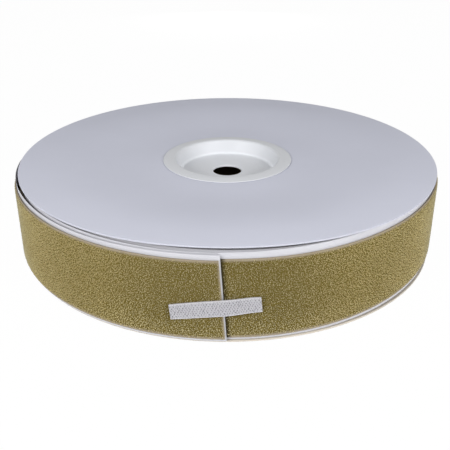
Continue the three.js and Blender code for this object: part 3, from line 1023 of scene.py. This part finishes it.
class ROLL_OT_outer_tape(bpy.types.Operator):
    """Wind the outer turns of tape, the last of them with its looped pile"""

    bl_idname = "tape_roll.outer_tape"
    bl_label = "Outer Tape"

    def execute(self, context):
        winding = Winding(context.scene.roll_tape)
        start = TAIL_START - 360
        buried = winding.flat_tape(rows_of(SPIRAL_START, start, BURIED_STEP), BURIED_COLUMNS, 0)
        windings = rows_of(start, TAIL_START, GROUND_STEP)
        ground = winding.flat_tape(windings, GROUND_COLUMNS, winding.tape.pile_height)
        piece = tape_piece(context, "outer_tape", buried, ground)
        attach(piece, "spool")
        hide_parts("loop_tape_turns")
        ends = np.linspace(start, TAIL_START, PILE_PARTS + 1)
        for part in range(PILE_PARTS):
            pile = pile_piece(context, winding, f"pile_{part + 1}", ends[part], ends[part + 1], SEED + part)
            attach(pile, "spool")
        return {"FINISHED"}


class ROLL_OT_outer_liner(bpy.types.Operator):
    """Wind the outer turns of liner"""

    bl_idname = "tape_roll.outer_liner"
    bl_label = "Outer Liner"

    def execute(self, context):
        winding = Winding(context.scene.roll_tape)
        piece = liner_piece(context, winding, "outer_liner", rows_of(SPIRAL_START, TAIL_START, LINER_STEP))
        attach(piece, "spool")
        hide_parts("liner_turns")
        return {"FINISHED"}


class ROLL_OT_free_end(bpy.types.Operator):
    """Make the free end: the root of the tape, its tail to the slanted cut, and the liner behind them"""

    bl_idname = "tape_roll.free_end"
    bl_label = "Free End"

    def execute(self, context):
        tape = context.scene.roll_tape
        winding = Winding(tape)
        middle = tape.width / 2
        root = winding.point(TAIL_START, 0, middle).tolist()
        peel = winding.point(PEEL_START, 0, middle).tolist()
        bend = winding.point(PEEL_START / 2, 0, middle).tolist()
        crest = tape.pile_height
        windings = rows_of(TAIL_START, PEEL_START, GROUND_STEP)
        piece = tape_piece(context, "tail_root", winding.flat_tape(windings, GROUND_COLUMNS, crest))
        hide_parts("tape_tail_root")
        pile = pile_piece(context, winding, "tail_root_pile", TAIL_START, PEEL_START, SEED + PILE_PARTS)
        for each in (piece, pile):
            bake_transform(each)
        windings = winding.to_cut(PEEL_START, GROUND_STEP, winding.tape_heights(GROUND_COLUMNS), 0)
        piece = tape_piece(context, "tail", winding.flat_tape(windings, GROUND_COLUMNS, crest))
        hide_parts("tape_tail")
        pile = pile_piece(context, winding, "tail_pile", PEEL_START, 0, SEED + PILE_PARTS + 1)
        for each in (piece, pile):
            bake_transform(each)
        heights = np.linspace(-tape.liner_bottom, tape.width + tape.liner_top, LINER_COLUMNS)
        windings = winding.to_cut(TAIL_START, LINER_STEP, heights, tape.liner_end)
        piece = liner_piece(context, winding, "tail_liner", windings)
        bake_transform(piece)
        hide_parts("liner_tail")
        return {"FINISHED"}


class ROLL_OT_closing_strip(bpy.types.Operator):
    """Make the closing strip: a dimpled back, and hooks that grip the pile"""

    bl_idname = "tape_roll.closing_strip"
    bl_label = "Closing Strip"
    cell = 0.25 * MM
    plain_edge = (0.2 * MM, 0.8 * MM)
    dimple_depth = 0.14 * MM
    dimple_rim = 0.6
    stray = 0.3 * MM
    stray_along = 1.1 * MM
    stray_across = 1.7 * MM
    stray_swing = 7
    bend_length = 20 * MM
    hook_pitch = 1.6 * MM
    hook_radius = 0.3 * MM
    hook_thread = 0.1 * MM
    hook_stem = 0.05 * MM
    hook_bends = (0, 40, 110, 190)

    def back(self, tape, winding):
        """The strip as rings along it: across the dimpled back, then across the hook side. The dimples stray
        along it by a sine of a sine, and the surface coordinates stray with them."""
        rows = round(tape.strip_length / self.cell) + 1
        columns = round(tape.strip_width / self.cell) + 1
        along = np.linspace(-0.5, 0.5, rows)[:, None] * tape.strip_length
        across = np.linspace(-0.5, 0.5, columns)[None, :] * tape.strip_width
        swing = self.stray_swing * np.sin(across / self.stray_across)
        strayed = along + self.stray * np.sin(along / self.stray_along + swing)
        waves = np.sin(2 * np.pi * strayed / DIMPLE_ALONG) * np.sin(np.pi * across / DIMPLE_ACROSS)
        edge = np.minimum(tape.strip_width / 2 - abs(across), tape.strip_length / 2 - abs(along))
        inside = smoothstep(edge, *self.plain_edge)
        lift = tape.strip_thickness - self.dimple_depth * inside * np.clip(waves, -self.dimple_rim, 1)
        along, across, strayed = np.broadcast_arrays(along, across, strayed)
        face = winding.strip(along, across, lift)
        ends = [-1, 0]
        under = winding.strip(along[:, ends], across[:, ends], 0)
        flat = np.stack([strayed, across], axis=-1)
        return np.concatenate([face, under], axis=1), np.concatenate([flat, flat[:, ends]], axis=1)

    def hooks(self, tape, winding):
        """Staggered rows of hooks: each a thread of four rings of three points, which leaves the strip by a
        short stem and bends over by an angle b: reach = radius (1 - cos b), fall = -stem - radius sin b."""
        columns = round(tape.strip_length / self.hook_pitch) - 1
        rows = round(tape.strip_width / self.hook_pitch) - 1
        bends = np.radians(self.hook_bends)[:, None]
        sides = np.radians(THREAD_SIDES)
        column, row = np.meshgrid(np.arange(columns), np.arange(rows), indexing="ij")
        along = ((column + 1 - (columns + 1) / 2 + (row % 2) / 2) * self.hook_pitch).ravel()[:, None, None]
        across = ((row + 1 - (rows + 1) / 2) * self.hook_pitch).ravel()[:, None, None]
        radius = self.hook_radius + self.hook_thread * np.cos(sides)
        reach = radius * (1 - np.cos(bends))
        fall = -self.hook_stem * (bends > 0) - radius * np.sin(bends)
        return winding.strip(along + reach, across + self.hook_thread * np.sin(sides) + 0 * bends, fall)

    def execute(self, context):
        tape = context.scene.roll_tape
        winding = Winding(tape)
        surface = Surface()
        surface.grid(*self.back(tape, winding), caps=True)
        surface.grid(self.hooks(tape, winding), caps=True)
        piece = surface.piece("hook_strip", finishes(context, hook_back), "hook_strip", sharp=60)
        start = winding.strip(-tape.strip_length / 2, 0, 0).tolist()
        end = winding.strip(-tape.strip_length / 2 + self.bend_length, 0, 0).tolist()
        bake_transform(piece)
        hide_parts("closing_strip")
        return {"FINISHED"}


class ROLL_OT_stage(bpy.types.Operator):
    """Set the floor, the lights and the camera"""

    bl_idname = "tape_roll.stage"
    bl_label = "Stage"
    floor_reach = 4.0
    floor_gap = 0.2 * MM
    shadow_share = 0.02
    key_place = (0.46, -0.58, 0.37)
    key_size = 0.25
    fill_place = (1.05, -0.3, 0.3)
    fill_size = 0.5
    back_place = (0, 1.0, 0.03)
    back_size = 0.05
    sensor_width = 36
    nearest = 0.01

    def floor(self, context, stage):
        """A wide floor: white to the camera, with part of the shadow kept."""
        reach = self.floor_reach
        corners = [(-reach, -reach), (reach, -reach), (reach, reach), (-reach, reach)]
        mesh = bpy.data.meshes.new("floor")
        mesh.from_pydata([(x, y, -self.floor_gap) for x, y in corners], [], [(0, 1, 2, 3)])
        finish = Finish(bpy.data.materials.new("floor"))
        white = tuple(stage.floor_colour)
        finish.done({"Base Color": white, "Roughness": 1.0, "Specular IOR Level": 0.0})
        glow = finish.node("ShaderNodeEmission", None, {"Color": white, "Strength": 1.0})
        shader = Wire(finish, finish.shader.outputs[0])
        share = finish.seen() * (1 - self.shadow_share)
        shown = finish.node("ShaderNodeMixShader", None, {0: share, 1: shader, 2: glow})
        finish.join(shown, finish.tree.nodes["Material Output"].inputs["Surface"])
        mesh.materials.append(finish.owner)
        floor = bpy.data.objects.new("floor", mesh)
        context.scene.collection.objects.link(floor)

    def sky(self, context, stage):
        """An even sky for light, and plain white where it is seen or mirrored."""
        sky = Finish(bpy.data.worlds.new("sky"))
        strength = sky.seen() * (1 - stage.sky) + stage.sky
        context.scene.world = sky.done({"Color": tuple(stage.floor_colour), "Strength": strength})

    def lamp(self, context, name, place, size, power, way=1):
        """A square lamp that faces the roll, with way -1 on the other side."""
        data = bpy.data.lights.new(name, "AREA")
        data.size = size
        data.energy = power
        lamp = bpy.data.objects.new(name, data)
        lamp.location = (way * place[0], *place[1:])
        lamp.rotation_euler = (-lamp.location).to_track_quat("-Z", "Y").to_euler()
        context.scene.collection.objects.link(lamp)

    def camera(self, context, stage):
        """A camera in front of the roll: aimed at a place on its axis, then turned by the aim's slopes."""
        place = np.array([0, -stage.camera_back, stage.camera_height])
        upright = np.array([0, 0, 1])
        ahead = unit(np.array([0, 0, stage.aim_height]) - place)
        right = unit(np.cross(ahead, upright))
        ahead = unit(ahead + stage.aim_right * right + stage.aim_up * np.cross(right, ahead))
        right = unit(np.cross(ahead, upright))
        up = np.cross(right, ahead)
        roll = math.radians(stage.roll)
        rolled_right = math.cos(roll) * right + math.sin(roll) * up
        rolled_up = math.cos(roll) * up - math.sin(roll) * right
        data = bpy.data.cameras.new("camera")
        data.lens = stage.lens
        data.sensor_width = self.sensor_width
        data.clip_start = self.nearest
        camera = bpy.data.objects.new("camera", data)
        turn = Matrix(np.stack([rolled_right, rolled_up, -ahead], axis=1).tolist()).to_4x4()
        camera.matrix_world = Matrix.Translation(place.tolist()) @ turn
        context.scene.collection.objects.link(camera)
        context.scene.camera = camera

    def execute(self, context):
        stage = context.scene.roll_stage
        context.scene.view_settings.view_transform = "Standard"
        self.floor(context, stage)
        self.sky(context, stage)
        for side, way in (("left", -1), ("right", 1)):
            self.lamp(context, f"{side}_key", self.key_place, self.key_size, stage.key, way)
            self.lamp(context, f"{side}_fill", self.fill_place, self.fill_size, stage.fill, way)
        self.lamp(context, "back", self.back_place, self.back_size, stage.back)
        self.camera(context, stage)
        return {"FINISHED"}


class ROLL_PT_panel(bpy.types.Panel):
    """The steps that build the roll, in order"""

    bl_idname = "ROLL_PT_panel"
    bl_label = "Tape Roll"
    bl_space_type = "VIEW_3D"
    bl_region_type = "UI"
    bl_category = "Tape Roll"

    def draw(self, context):
        for step in STEPS:
            self.layout.operator(step.bl_idname)
        for settings in (context.scene.roll_tape, context.scene.roll_spool, context.scene.roll_stage):
            box = self.layout.box()
            for key in settings.__annotations__:
                box.prop(settings, key)


STEPS = (
    ROLL_OT_stage,
    ROLL_OT_discs,
    ROLL_OT_plugs,
    ROLL_OT_core,
    ROLL_OT_inner_winding,
    ROLL_OT_outer_tape,
    ROLL_OT_outer_liner,
    ROLL_OT_free_end,
    ROLL_OT_closing_strip,
)
CLASSES = (TapeSettings, SpoolSettings, StageSettings, *STEPS, ROLL_PT_panel)


def register():
    for cls in CLASSES:
        bpy.utils.register_class(cls)
    bpy.types.Scene.roll_tape = PointerProperty(type=TapeSettings)
    bpy.types.Scene.roll_spool = PointerProperty(type=SpoolSettings)
    bpy.types.Scene.roll_stage = PointerProperty(type=StageSettings)


def unregister():
    del bpy.types.Scene.roll_tape
    del bpy.types.Scene.roll_spool
    del bpy.types.Scene.roll_stage
    for cls in reversed(CLASSES):
        bpy.utils.unregister_class(cls)


def main():
    """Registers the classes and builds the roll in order."""
    register()
    for step in STEPS:
        group, name = step.bl_idname.split(".")
        getattr(getattr(bpy.ops, group), name)()


if __name__ == "__main__":
    main()
